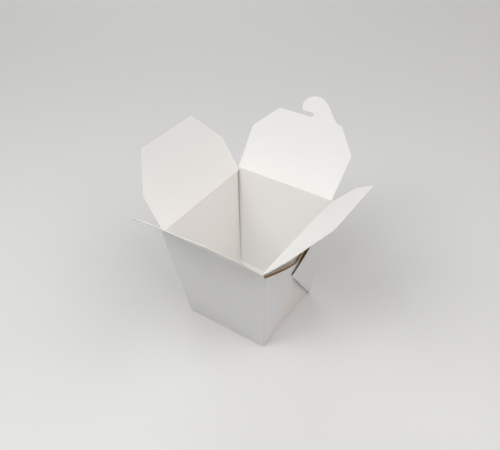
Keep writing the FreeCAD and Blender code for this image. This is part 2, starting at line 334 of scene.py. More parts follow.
@dataclass(frozen=True)
class BoardFinish:
    """One face of the board: its colours and how strongly fibres, marks and folds show."""

    name: str
    colour: Colour
    marked: Colour
    cracked: Colour
    roughness: float = 0.6
    fibre_depth: float = 0.010
    mark_strength: float = 0.5
    fibre_scale: float = 900.0
    roughness_spread: float = 0.16
    bump_strength: float = 0.35
    specular: float = 0.35

    def material(self, groups: dict[str, bpy.types.NodeTree]) -> bpy.types.Material:
        """Build the material.

        Args:
            groups: the shared groups for fibres, marks and folds, by those names.

        Returns:
            The material.
        """
        made = bpy.data.materials.new(self.name)
        made.use_nodes = True
        sheet = NodeSheet(made.node_tree)
        fibres = sheet.add("ShaderNodeGroup", node_tree=groups["fibres"])
        fibres.inputs["Fibre Scale"].default_value = self.fibre_scale
        marks = sheet.add("ShaderNodeGroup", node_tree=groups["marks"])
        folds = sheet.add("ShaderNodeGroup", node_tree=groups["folds"])
        shade_share = sheet.math("MULTIPLY", marks.outputs["Mask"], fibres.outputs["Cloud"])
        share = sheet.math("MULTIPLY", shade_share, self.mark_strength)
        plain = self.mixed(sheet, share, (*self.colour, 1.0), (*self.marked, 1.0))
        worn = self.mixed(sheet, folds.outputs["Mask"], plain, (*self.cracked, 1.0))
        rough = sheet.math("MULTIPLY_ADD", fibres.outputs["Cloud"], self.roughness_spread,
                           self.roughness - self.roughness_spread / 2)
        bump = sheet.add("ShaderNodeBump", {"Strength": self.bump_strength, "Distance": self.fibre_depth * MM,
                                            "Height": fibres.outputs["Height"]})
        shader = sheet.add("ShaderNodeBsdfPrincipled", {"Base Color": worn, "Roughness": rough,
                                                        "Normal": bump.outputs[0],
                                                        "Specular IOR Level": self.specular})
        sheet.add("ShaderNodeOutputMaterial", {"Surface": shader.outputs[0]})
        return made

    @staticmethod
    def mixed(sheet: NodeSheet, share: object, first: object, second: object) -> bpy.types.NodeSocket:
        """A colour between two colours.

        Args:
            sheet: the material's nodes.
            share: the second colour's share.
            first: a colour or socket.
            second: a colour or socket.

        Returns:
            The mixed colour's socket.
        """
        node = sheet.add("ShaderNodeMix", data_type="RGBA")
        inputs = {socket.identifier: socket for socket in node.inputs}
        for name, value in (("Factor_Float", share), ("A_Color", first), ("B_Color", second)):
            sheet.feed(inputs[name], value)
        return next(each for each in node.outputs if each.identifier == "Result_Color")


OUTSIDE_FINISH = BoardFinish(
    "board_outside", colour=(0.82, 0.82, 0.82), marked=(0.785, 0.785, 0.785), cracked=(0.86, 0.855, 0.84),
    roughness=0.55)
INSIDE_FINISH = BoardFinish(
    "board_inside", colour=(0.865, 0.845, 0.82), marked=(0.835, 0.815, 0.785), cracked=(0.88, 0.86, 0.835),
    roughness=0.68)
EDGE_FINISH = BoardFinish(
    "board_cut_edge", colour=(0.83, 0.81, 0.76), marked=(0.74, 0.69, 0.60), cracked=(0.83, 0.80, 0.74),
    roughness=0.85, fibre_depth=0.03, mark_strength=0.9, fibre_scale=2400.0)
# Painted shade: the sheet's cut edges, tucked under the flaps, are tinted tan for the warm shade between its
# layers, while the flaps' own cut edges stay cream.
SHADED_EDGE_FINISH = BoardFinish(
    "board_cut_edge_painted_shade", colour=(0.90, 0.78, 0.67), marked=(0.80, 0.67, 0.56), cracked=(0.92, 0.82, 0.72),
    roughness=0.85, fibre_depth=0.03, mark_strength=0.9, fibre_scale=2400.0)
# Painted shade: a dark brown on the hidden faces of the webs' folded layers, standing for the deep shade in
# the gaps between them.
WEB_GAP_SHADE_FINISH = BoardFinish(
    "web_gap_painted_shade", colour=(0.57, 0.42, 0.26), marked=(0.48, 0.35, 0.21), cracked=(0.60, 0.47, 0.32),
    roughness=0.8)
# Painted shade: the side walls' outsides, recessed under the webs, are tinted warmer and pinker for the warm
# shade and bounce there.
SIDE_WALL_SHADE_FINISH = BoardFinish(
    "board_side_wall_painted_shade", colour=(0.88, 0.84, 0.82), marked=(0.85, 0.81, 0.79), cracked=(0.89, 0.86, 0.84),
    roughness=0.6)


# ------------------------------------------------------------------------------------------------------------
# Mesh helpers
# ------------------------------------------------------------------------------------------------------------


def arc_between(start: Vector, end: Vector, bulge: Vector, steps: int) -> list[Vector]:
    """Lay a half circle between two points.

    Args:
        start: its first end.
        end: its last end.
        bulge: the direction that it bulges in.
        steps: number of chords.

    Returns:
        The points along it, ends left out.
    """
    middle = (start + end) / 2
    half = (end - start) / 2
    radius = half.length
    points = []
    for step in range(1, steps):
        angle = math.pi * step / steps
        points.append(middle - half * math.cos(angle) + bulge * radius * math.sin(angle))
    return points


def eased_point(start: Vector, corner: Vector, end: Vector, share: float) -> Vector:
    """Point at a share of the way along a corner that is rounded between start and end."""
    return start * (1 - share) ** 2 + corner * 2 * share * (1 - share) + end * share ** 2


def corner_arc(start: Vector, corner: Vector, end: Vector, steps: int) -> list[Vector]:
    """Points of a rounded corner between start and end, ends left out."""
    return [eased_point(start, corner, end, step / steps) for step in range(1, steps)]


def arc_through(start: Vector, middle: Vector, end: Vector, steps: int) -> list[Vector]:
    """Lay the circular arc through three points of a plane.

    Args:
        start: its first end.
        middle: a point on it.
        end: its last end.
        steps: number of chords.

    Returns:
        The points along it, both ends included.
    """
    (ax, ay), (bx, by), (cx, cy) = start, middle, end
    spread = 2 * (ax * (by - cy) + bx * (cy - ay) + cx * (ay - by))
    square_a, square_b, square_c = ax * ax + ay * ay, bx * bx + by * by, cx * cx + cy * cy
    centre = Vector(((square_a * (by - cy) + square_b * (cy - ay) + square_c * (ay - by)) / spread,
                     (square_a * (cx - bx) + square_b * (ax - cx) + square_c * (bx - ax)) / spread))
    first = math.atan2(ay - centre.y, ax - centre.x)
    mid = math.atan2(by - centre.y, bx - centre.x)
    last = math.atan2(cy - centre.y, cx - centre.x)
    turn = math.tau if spread > 0 else -math.tau
    sweep = (last - first) % turn
    if abs((mid - first) % turn) > abs(sweep):
        sweep -= turn
    radius = (start - centre).length
    angles = [first + sweep * step / steps for step in range(steps + 1)]
    return [centre + Vector((math.cos(angle), math.sin(angle))) * radius for angle in angles]


def divided(outline: Sequence[Vector], longest: float) -> list[Vector]:
    """Cut the long runs of a closed outline into shorter ones.

    Args:
        outline: its points.
        longest: the longest run left.

    Returns:
        The points of the divided outline.
    """
    points = []
    for start, end in zip(outline, list(outline[1:]) + [outline[0]]):
        pieces = max(1, math.ceil((end - start).length / longest))
        points += [start.lerp(end, step / pieces) for step in range(pieces)]
    return points


def inside(point: Vector, outline: Sequence[Vector]) -> bool:
    """Tell whether a point lies inside a closed outline.

    Args:
        point: the point.
        outline: the outline's points.

    Returns:
        True inside.
    """
    result = False
    for start, end in zip(outline, list(outline[1:]) + [outline[0]]):
        if (start.y > point.y) != (end.y > point.y):
            cross = start.x + (point.y - start.y) / (end.y - start.y) * (end.x - start.x)
            result ^= point.x < cross
    return result


def clearance(point: Vector, outline: Sequence[Vector]) -> float:
    """Distance from a point to the nearest corner of a finely divided outline."""
    return min((point - corner).length for corner in outline)


def ripple(point: Vector, wavelength: float, height: float, seed: float) -> float:
    """Gentle unevenness of board at a point, in millimetres."""
    return height * noise.noise(point / wavelength + SEED_STEP * seed)


def plain_mesh(piece: bpy.types.Object) -> None:
    """Turn a piece's modifiers into its own mesh, and take them off.

    Args:
        piece: the object.
    """
    depsgraph = bpy.context.evaluated_depsgraph_get()
    result = bpy.data.meshes.new_from_object(piece.evaluated_get(depsgraph), preserve_all_data_layers=True,
                                             depsgraph=depsgraph)
    piece.modifiers.clear()
    old = piece.data
    piece.data = result
    bpy.data.meshes.remove(old)


def shade(piece: bpy.types.Object, sharp_angle: float = 38.0) -> None:
    """Shade a piece smooth, apart from its sharp edges.

    Args:
        piece: the object.
        sharp_angle: degrees that a smooth edge turns by at most.
    """
    work = bmesh.new()
    work.from_mesh(piece.data)
    limit = math.radians(sharp_angle)
    for face in work.faces:
        face.smooth = True
    for edge in work.edges:
        edge.smooth = len(edge.link_faces) == 2 and edge.calc_face_angle() < limit
    work.to_mesh(piece.data)
    work.free()


def new_piece(name: str, vertices: Sequence[Vector], faces: Sequence[Sequence[int]]) -> bpy.types.Object:
    """Link a new mesh object.

    Args:
        name: its name.
        vertices: its points in metres.
        faces: the vertex numbers of its faces.

    Returns:
        The object.
    """
    mesh = bpy.data.meshes.new(name)
    mesh.from_pydata([tuple(point) for point in vertices], [], [tuple(face) for face in faces])
    piece = bpy.data.objects.new(name, mesh)
    bpy.context.scene.collection.objects.link(piece)
    return piece


# ------------------------------------------------------------------------------------------------------------
# The folded sheet
# ------------------------------------------------------------------------------------------------------------


class SheetMesh:
    """Points, fold values and faces of the sheet while it is laid out."""

    def __init__(self) -> None:
        """Start empty."""
        self.vertices: list[Vector] = []
        self.folds: list[float] = []
        self.faces: list[tuple[int, ...]] = []

    def add(self, point: Vector, fold: float) -> int:
        """Add a point and say how sharply the sheet is folded there.

        Args:
            point: the point in millimetres.
            fold: its fold value.

        Returns:
            The point's number.
        """
        self.vertices.append(point)
        self.folds.append(fold)
        return len(self.vertices) - 1

    def strip(self, lower: Sequence[int], upper: Sequence[int], flipped: bool = False) -> None:
        """Join two rows of points by a strip of faces.

        Args:
            lower: point numbers of one row.
            upper: point numbers of the other.
            flipped: whether the faces look the other way.
        """
        for (low, low_next), (high, high_next) in zip(zip(lower, lower[1:]), zip(upper, upper[1:])):
            face = (low, low_next, high_next, high)
            self.faces.append((low, high, high_next, low_next) if flipped else face)


@dataclass(frozen=True)
class WebShape:
    """One corner web: its layers' stand-off and bow, its corner's push and the open slot at its fold."""

    tip_gap: float
    wrap: float = 1.7
    outer_bow: float = 1.9
    inner_bow: float = 0.7
    spread: float = 0.15
    push: float = 0.0
    slot: float = 1.0


@dataclass(frozen=True)
class Swell:
    """How far a panel bulges, and the unevenness on it: its wavelength, height and seed."""

    bow: float
    wavelength: float
    height: float
    seed: float

    def uneven(self, point: Vector) -> float:
        """Unevenness at a point, in millimetres."""
        return ripple(point, self.wavelength, self.height, self.seed)


@dataclass
class CartonSheet:
    """The base, walls and webs, as one continuous sheet of board."""

    base_depth: float = 65.0
    foot_width: float = 66.4
    mouth_width: float = 83.2
    foot_stack: float = 1.1
    mouth_stack: float = 2.0
    web_drop: float = 0.65
    crease_lean: float = 36.0
    crease_length: float = 69.0
    layer_gap: float = 0.10
    mouth_tuck: float = 0.35
    bend: float = 0.5
    wrap_foot: float = 0.7
    rows: int = 36
    plain_columns: int = 26
    side_columns: int = 22
    plain_swell: Swell = Swell(0.35, 24, 0.10, 3.1)
    side_swell: Swell = Swell(0.5, 22, 0.10, 7.7)
    base_swell: Swell = Swell(0.35, 26, 0.12, 1.3)
    front_web: WebShape = WebShape(0.10)
    pushed_web: WebShape = WebShape(0.10, wrap=1.2, outer_bow=1.2, spread=0.40, push=1.6)
    back_web: WebShape = WebShape(2.20, wrap=0.9, outer_bow=1.3, inner_bow=-0.5, spread=0.9, slot=1.7)

    def __post_init__(self) -> None:
        """Take the creases of the flaps from the frame, and work out the side wall's directions."""
        hook = Vector(joint_named("hook_flap_fold")["pos_m"]) / MM
        dust = Vector(joint_named("right_dust_flap_fold")["pos_m"]) / MM
        self.height = hook.z
        self.mouth_depth = 2 * hook.y + BOARD
        self.dust_height = dust.z
        self.web_top = dust.z - self.web_drop
        self.side_foot = self.foot_width / 2 - self.foot_stack
        self.side_mouth = self.mouth_width / 2 - self.mouth_stack
        self.up_side = Vector((self.side_mouth - self.side_foot, 0, self.height)).normalized()
        self.out_side = Vector((self.up_side.z, 0, -self.up_side.x))
        self.start_level = BOARD / 2 + self.bend

    def half_depth(self, level: float) -> float:
        """Distance from the middle to a plain wall's mid-surface at a level."""
        return blend_values(self.base_depth, self.mouth_depth, level / self.height) / 2 - BOARD / 2

    def half_width(self, level: float) -> float:
        """Distance from the middle to a web's outer layer at a plain wall's edge, at a level."""
        return blend_values(self.foot_width, self.mouth_width, level / self.height) / 2 - BOARD / 2

    def on_side(self, across: float, rise: float, stand_off: float) -> Vector:
        """Find a point by the right side wall.

        Args:
            across: its distance from the wall's front foot corner towards the back.
            rise: its distance from there up the wall's slope.
            stand_off: its distance from the wall's face.

        Returns:
            The point.
        """
        corner = Vector((self.side_foot, -self.base_depth / 2, 0))
        return corner + Vector((0, across, 0)) + self.up_side * rise + self.out_side * stand_off

    def fold_across(self, level: float, slot: float) -> float:
        """Where the side wall's folded edge lies across from its foot corner."""
        clear = (BOARD + slot) * (level / self.height) ** SLOT_POWER
        return self.base_depth / 2 - self.half_depth(level) + BOARD / 2 + clear

    def web_path(self, share: float, web: WebShape) -> list[Station]:
        """Section of the front right web at a share of its height.

        Args:
            share: 0 at the foot corner and 1 at the cut edge.
            web: the web's shape.

        Returns:
            Points from the plain wall's edge to the side wall's, each with its fold value and its layer.
        """
        level = blend_values(self.start_level, self.web_top, share)
        rise = level / self.up_side.z
        width = self.half_width(level)
        depth = self.half_depth(level)
        wrap = blend_values(self.wrap_foot, web.wrap, share)
        grown = share ** BOW_POWER
        push = web.push * grown
        wall_end = Vector((width - wrap + push, -depth, level))
        corner = Vector((width + push, -depth, level))
        layer_start = Vector((width + push, -depth + wrap, level))

        lean = math.radians(self.crease_lean)
        run = blend_values(self.start_level, self.crease_length, share)
        across, climb = run * math.sin(lean), run * math.cos(lean)
        inner_off = self.layer_gap + BOARD / 2 + web.tip_gap * share
        outer_off = inner_off + BOARD + self.layer_gap + web.spread * share
        crease_out = self.on_side(across, climb, outer_off)
        crease_in = self.on_side(across, climb, inner_off)
        past_crease = Vector((0, math.cos(lean), 0)) - self.up_side * math.sin(lean)

        fold = self.fold_across(level, web.slot)
        tuck = blend_values(self.layer_gap, self.mouth_tuck, share) + BOARD / 2
        fold_in = self.on_side(fold, rise, tuck)
        fold_wall = self.on_side(fold, rise, -BOARD / 2)
        to_front = Vector((0, -1, 0))

        path = [(wall_end, FLAT, Layer.WALL)]
        path += self.curve(corner_arc(wall_end, corner, layer_start, CORNER_STEPS), WRAPPED, Layer.OUTER)
        path += self.layer(layer_start, crease_out, web.outer_bow * grown, OUTER_STEPS, Layer.OUTER)
        path += self.curve(arc_between(crease_out, crease_in, past_crease, CREASE_STEPS), FOLDED, Layer.OUTER)
        path += self.layer(crease_in, fold_in, web.inner_bow * grown, INNER_STEPS, Layer.INNER)
        path += self.curve(arc_between(fold_in, fold_wall, to_front, CREASE_STEPS), FOLDED, Layer.INNER)
        path.append((fold_wall, WALL_EDGE, Layer.SIDE))
        return path

    @staticmethod
    def curve(points: Sequence[Vector], fold: float, kind: Layer) -> list[Station]:
        """Stations of a curved stretch with one fold value and one layer."""
        return [(point, fold, kind) for point in points]

    def layer(self, start: Vector, end: Vector, bow: float, steps: int, kind: Layer) -> list[Station]:
        """One flat layer of a web, bowed off the side wall in its middle.

        Args:
            start: its first end.
            end: its last end.
            bow: how far its middle stands off.
            steps: number of chords.
            kind: the layer that it belongs to.

        Returns:
            The stations along it, both ends included.
        """
        path = []
        for step in range(steps + 1):
            share = step / steps
            point = start.lerp(end, share) + self.out_side * bow * math.sin(math.pi * share)
            path.append((point, LAYER_END if step in (0, steps) else FLAT, kind))
        return path

    def plain_wall_path(self, share: float, left: Vector, right: Vector) -> list[Station]:
        """Section of a plain wall between its two webs, as if it were the front wall.

        Args:
            share: the section's share of the web's height.
            left: its left end.
            right: its right end.

        Returns:
            The stations along it, ends left out.
        """
        path = []
        for column in range(1, self.plain_columns):
            place = 2 * column / self.plain_columns - 1
            point = left.lerp(right, column / self.plain_columns)
            bow = (1 - place * place) * math.sin(math.pi * share) * self.plain_swell.bow
            out = bow + self.plain_swell.uneven(point) * (1 - place ** 4)
            path.append((point + Vector((0, -out, 0)), FLAT, Layer.WALL))
        return path

    def side_wall_path(self, share: float, front: Vector, back: Vector) -> list[Station]:
        """Section of the right side wall between its folded edges, sunk a little in its middle.

        Args:
            share: the section's share of the web's height.
            front: its front end.
            back: its back end.

        Returns:
            The stations along it, ends left out.
        """
        path = []
        for column in range(1, self.side_columns):
            place = column / self.side_columns
            point = front.lerp(back, place)
            middle = 1 - (2 * place - 1) ** 2
            bow = middle * (1 - share / 2) * self.side_swell.bow
            sink = bow + self.side_swell.uneven(point) * middle
            path.append((point - self.out_side * sink, FLAT, Layer.SIDE))
        return path

    @staticmethod
    def turned(path: list[Station], flip_x: bool, flip_y: bool) -> list[Station]:
        """Mirror a stretch of the ring, and keep it counter-clockwise.

        Args:
            path: the stretch.
            flip_x: whether it is mirrored in X.
            flip_y: whether it is mirrored in Y.

        Returns:
            The mirrored copy.
        """
        sign_x, sign_y = (-1 if flip_x else 1), (-1 if flip_y else 1)
        copy = [(Vector((point.x * sign_x, point.y * sign_y, point.z)), fold, kind)
                for point, fold, kind in path]
        return copy if flip_x == flip_y else copy[::-1]

    def ring_paths(self, share: float) -> list[list[Station]]:
        """The ring of walls and webs at a share of the web's height.

        Args:
            share: 0 at the foot corner and 1 at the cut edge.

        Returns:
            Its eight stretches, counter-clockwise from the front wall.
        """
        turned = self.turned
        pushed = self.web_path(share, self.pushed_web)
        front = self.web_path(share, self.front_web)
        back = turned(self.web_path(share, self.back_web), False, True)
        front_left, back_left = turned(front, True, False), turned(back, True, False)
        front_wall = self.plain_wall_path(share, front_left[-1][0], pushed[0][0])
        back_end, back_start = back_left[0][0], back[-1][0]
        flipped = self.plain_wall_path(share, Vector((back_end.x, -back_end.y, back_end.z)),
                                       Vector((back_start.x, -back_start.y, back_start.z)))
        side = self.side_wall_path(share, pushed[-1][0], back[0][0])
        return [front_wall, pushed, side, back, turned(flipped, False, True), back_left,
                turned(side, True, False), front_left]

    def build(self) -> bpy.types.Object:
        """Make the sheet's mesh: the ring of walls and webs, its extra rows at the mouth, and the base.

        The faces of the ring take the materials of their layer, and all others those of the plain walls.

        Returns:
            The sheet, still without thickness.
        """
        mesh = SheetMesh()
        ring: list[list[int]] = []
        columns: list[Layer] = []
        stretches: list[int] = []
        for row in range(self.rows + 1):
            line = []
            for number, path in enumerate(self.ring_paths(row / self.rows)):
                for point, fold, kind in path:
                    line.append(mesh.add(point, fold))
                    if row == 0:
                        columns.append(kind)
                        stretches.append(number)
            ring.append(line)
        for lower, upper in zip(ring, ring[1:]):
            mesh.strip(lower + lower[:1], upper + upper[:1])
        neighbours = zip(columns, columns[1:] + columns[:1])
        row_kinds = [self.face_kind(first, second) for first, second in neighbours]
        self.crown(mesh, ring[-1], stretches)
        self.base_panel(mesh, ring[0], stretches)

        piece = new_piece("carton_sheet", [point * MM for point in mesh.vertices], mesh.faces)
        layer = piece.data.attributes.new("fold", "FLOAT", "POINT")
        layer.data.foreach_set("value", mesh.folds)
        for polygon, kind in zip(piece.data.polygons, row_kinds * self.rows):
            polygon.material_index = kind.value
        return piece

    @staticmethod
    def face_kind(first: Layer, second: Layer) -> Layer:
        """Layer of a face that lies between two columns.

        Args:
            first: the layer of one column.
            second: the layer of the next.

        Returns:
            The face's layer.
        """
        if Layer.INNER in (first, second):
            return Layer.INNER
        if Layer.OUTER in (first, second):
            return Layer.OUTER
        return first

    @staticmethod
    def wall_columns(rim: list[int], stretches: list[int], wall: Wall) -> list[int]:
        """Find a wall's columns on a rim of the ring.

        Args:
            rim: the rim's point numbers.
            stretches: the stretch that each column belongs to.
            wall: the wall.

        Returns:
            The point numbers of its columns, with the neighbour at each end.
        """
        where = [index for index, stretch in enumerate(stretches) if stretch == wall.value]
        return [rim[where[0] - 1]] + [rim[index] for index in where] + [rim[(where[-1] + 1) % len(rim)]]

    def raised(self, point: Vector, wall: Wall, level: float) -> Vector:
        """Carry a point of a wall up its slope.

        Args:
            point: the point.
            wall: the wall.
            level: the level that it is carried to.

        Returns:
            The moved point.
        """
        if wall in (Wall.FRONT, Wall.BACK):
            return Vector((point.x, math.copysign(self.half_depth(level), point.y), level))
        slope = math.copysign(self.up_side.x / self.up_side.z, point.x)
        return Vector((point.x + slope * (level - point.z), point.y, level))

    def crown(self, mesh: SheetMesh, top: list[int], stretches: list[int]) -> None:
        """Carry the walls up from the webs' tops to the flaps' creases.

        Args:
            mesh: the sheet so far.
            top: point numbers of the ring's upper rim.
            stretches: the stretch that each column belongs to.
        """
        plain_top, dust_top = self.height - PLAIN_REVEAL, self.dust_height - DUST_REVEAL
        tops = {Wall.FRONT: plain_top, Wall.BACK: plain_top, Wall.RIGHT: dust_top, Wall.LEFT: dust_top}
        for wall, wall_top in tops.items():
            columns = self.wall_columns(top, stretches, wall)
            lower = columns
            for share in (0.5, 1.0):
                level = blend_values(self.web_top, wall_top, share)
                upper = [mesh.add(self.raised(mesh.vertices[index], wall, level), CROWN_EDGE * share)
                         for index in columns]
                mesh.strip(lower, upper)
                lower = upper

    def base_panel(self, mesh: SheetMesh, bottom: list[int], stretches: list[int]) -> None:
        """Bend the walls in at the foot and close them with the base panel.

        Args:
            mesh: the sheet so far.
            bottom: point numbers of the ring's lower rim.
            stretches: the stretch that each column belongs to.
        """
        half_x = self.side_foot - BOARD / 2 - self.bend
        half_y = self.base_depth / 2 - BOARD / 2 - self.bend
        edges = {}
        for wall in (Wall.FRONT, Wall.RIGHT, Wall.BACK, Wall.LEFT):
            columns = self.wall_columns(bottom, stretches, wall)
            inner = []
            for place, index in enumerate(columns):
                share = 2 * place / (len(columns) - 1) - 1
                target = {Wall.FRONT: Vector((half_x * share, -half_y, 0)),
                          Wall.BACK: Vector((-half_x * share, half_y, 0)),
                          Wall.RIGHT: Vector((half_x, half_y * share, 0)),
                          Wall.LEFT: Vector((-half_x, -half_y * share, 0))}[wall]
                inner.append((index, target + UP * (BOARD / 2)))
            edges[wall] = self.foot_bend(mesh, inner)
        self.base_grid(mesh, edges, half_x, half_y)

    @staticmethod
    def foot_bend(mesh: SheetMesh, inner: list[tuple[int, Vector]]) -> list[int]:
        """Add the rounded bend below one wall.

        Args:
            mesh: the sheet so far.
            inner: the wall's point numbers, each with the place where its column meets the base panel.

        Returns:
            The point numbers where the bend meets the base panel.
        """
        previous = [index for index, _ in inner]
        for step in range(1, FOOT_STEPS + 1):
            share = step / FOOT_STEPS
            line = []
            for index, target in inner:
                start = mesh.vertices[index]
                corner = Vector((start.x, start.y, BOARD / 2))
                line.append(mesh.add(eased_point(start, corner, target, share),
                                     FOOT_BEND * math.sin(math.pi * share)))
            mesh.strip(line, previous)
            previous = line
        return previous

    def base_grid(self, mesh: SheetMesh, edges: dict[Wall, list[int]], half_x: float, half_y: float) -> None:
        """Fill the base panel between the four bends.

        Args:
            mesh: the sheet so far.
            edges: point numbers along each bend.
            half_x: half of the panel's width.
            half_y: half of its depth.
        """
        front, back = edges[Wall.FRONT], edges[Wall.BACK][::-1]
        right, left = edges[Wall.RIGHT], edges[Wall.LEFT][::-1]
        columns, rows = len(front), len(right)
        grid = [front]
        for row in range(1, rows - 1):
            line = [left[row]]
            for column in range(1, columns - 1):
                x = half_x * (2 * column / (columns - 1) - 1)
                y = half_y * (2 * row / (rows - 1) - 1)
                point = Vector((x, y, BOARD / 2))
                middle = (1 - (x / half_x) ** 2) * (1 - (y / half_y) ** 2)
                rise = middle * (self.base_swell.bow + self.base_swell.uneven(point))
                line.append(mesh.add(point + UP * rise, FLAT))
            grid.append(line + [right[row]])
        grid.append(back)
        for lower, upper in zip(grid, grid[1:]):
            mesh.strip(lower, upper, flipped=True)


# ------------------------------------------------------------------------------------------------------------
# Flaps
# ------------------------------------------------------------------------------------------------------------


@dataclass(frozen=True)
class HookShape:
    """The locking hook on the far edge of its flap, measured from the middle of that edge.

    A pair of numbers is an offset across and up: for the stem from its outer edge on the flap's far edge, and
    for the crown from the barb's tip at the hook's full rise.
    """

    notch: float = 3.3
    notch_end: float = 2.5
    barb_tip: float = -8.9
    rise: float = 15.7
    stem_edge: float = 21.0
    stem_dip: Offset = (2.2, 0.25)
    stem_foot: Offset = (0.0, 1.2)
    stem_head: Offset = (-6.0, 6.8)
    stem_round: Offset = (-9.0, 10.2)
    crown_end: Offset = (17.0, -2.3)
    crown_top: Offset = (9.0, 0.0)
    barb_over: Offset = (2.6, -2.4)
    barb_nose: float = 4.2
    barb_under: float = 1.5

    def points(self, edge: float, right: Vector) -> list[Vector]:
        """Outline from the flap's right corner round the hook and its notch.

        Args:
            edge: distance of the flap's far edge from its crease.
            right: the flap's right far corner.

        Returns:
            The points along it, both ends included.
        """
        crown, barb = edge + self.rise, edge + self.notch
        half_notch = self.notch / 2
        dip, foot, head, stem_round = (self.stepped(self.stem_edge, edge, offset) for offset in (
            self.stem_dip, self.stem_foot, self.stem_head, self.stem_round))
        crown_end, crown_top, barb_over = (self.stepped(self.barb_tip, crown, offset) for offset in (
            self.crown_end, self.crown_top, self.barb_over))
        barb_nose = Vector((self.barb_tip, barb + self.barb_nose))
        barb_under = Vector((self.barb_tip + self.barb_under, barb))
        notch_back = Vector((self.notch_end - half_notch, barb))
        notch_middle = Vector((self.notch_end, edge + half_notch))
        notch_start = Vector((self.notch_end - half_notch, edge))
        points = arc_through(right, dip, foot, HOOK_STEM_STEPS) + [head]
        points += arc_through(head, stem_round, crown_end, HOOK_BACK_STEPS)[1:]
        points += arc_through(crown_end, crown_top, barb_over, HOOK_CROWN_STEPS)[1:]
        points += arc_through(barb_over, barb_nose, barb_under, HOOK_BARB_STEPS)[1:] + [notch_back]
        points += arc_through(notch_back, notch_middle, notch_start, HOOK_NOTCH_STEPS)[1:]
        return points

    @staticmethod
    def stepped(across: float, up: float, offset: Offset) -> Vector:
        """A place moved by an offset."""
        return Vector((across + offset[0], up + offset[1]))


@dataclass(frozen=True)
class Slit:
    """The slit that takes the hook."""

    length: float = 27.0
    width: float = 1.0
    offset: float = 12.5

    def points(self, level: float) -> list[Vector]:
        """Outline of the slit.

        Args:
            level: its distance from the flap's crease.

        Returns:
            The points along it.
        """
        radius = self.width / 2
        half = self.length / 2 - radius
        right, left = Vector((self.offset + half, level)), Vector((self.offset - half, level))
        up, side = Vector((0, radius)), Vector((radius, 0))
        outline = arc_through(right - up, right + side, right + up, SLIT_STEPS)
        outline += arc_through(left + up, left - side, left - up, SLIT_STEPS)
        return divided(outline, LONGEST_RUN)


@dataclass(frozen=True)
class FlapOutline:
    """A flap laid flat: its first coordinate runs along the crease, and its second away from it."""

    half_root: float
    half_shoulder: float
    shoulder: float
    reach: float
    top: float
    corner_radius: float = 1.2
    hook: Optional[HookShape] = None
    slit: Optional[Slit] = None

    def corner_points(self) -> list[Vector]:
        """List the corners.

        Returns:
            The six corners, counter-clockwise from the root's right end.
        """
        return [Vector((self.half_root, 0)), Vector((self.half_shoulder, self.shoulder)),
                Vector((self.top / 2, self.reach)), Vector((-self.top / 2, self.reach)),
                Vector((-self.half_shoulder, self.shoulder)), Vector((-self.half_root, 0))]

    def points(self) -> list[Vector]:
        """Outline of the flap, with its corners eased and its long runs divided.

        Returns:
            The points along it, counter-clockwise.
        """
        corners = self.corner_points()
        outline = [corners[0]]
        outline += self.eased(corners[0], corners[1], corners[2])
        if self.hook:
            outline += self.hook.points(self.reach, corners[2])
        else:
            outline += self.eased(corners[1], corners[2], corners[3])
        outline += self.eased(corners[2], corners[3], corners[4])
        outline += self.eased(corners[3], corners[4], corners[5])
        outline.append(corners[5])
        return divided(outline, LONGEST_RUN)

    def eased(self, before: Vector, corner: Vector, after: Vector) -> list[Vector]:
        """Replace a corner by a short curve.

        Args:
            before: the corner before it.
            corner: the corner.
            after: the corner after it.

        Returns:
            The points of the curve, both ends included.
        """
        start = corner + (before - corner).normalized() * self.corner_radius
        end = corner + (after - corner).normalized() * self.corner_radius
        return [start] + corner_arc(start, corner, end, EASE_STEPS) + [end]

    def slit_points(self) -> list[Vector]:
        """Outline of the slit, under the edge of the flap across the mouth when both are closed.

        Returns:
            The points along it, or none for a flap without a slit.
        """
        across_mouth = 2 * abs(joint_named("hook_flap_fold")["pos_m"][1]) / MM
        return self.slit.points(across_mouth - self.reach) if self.slit else []


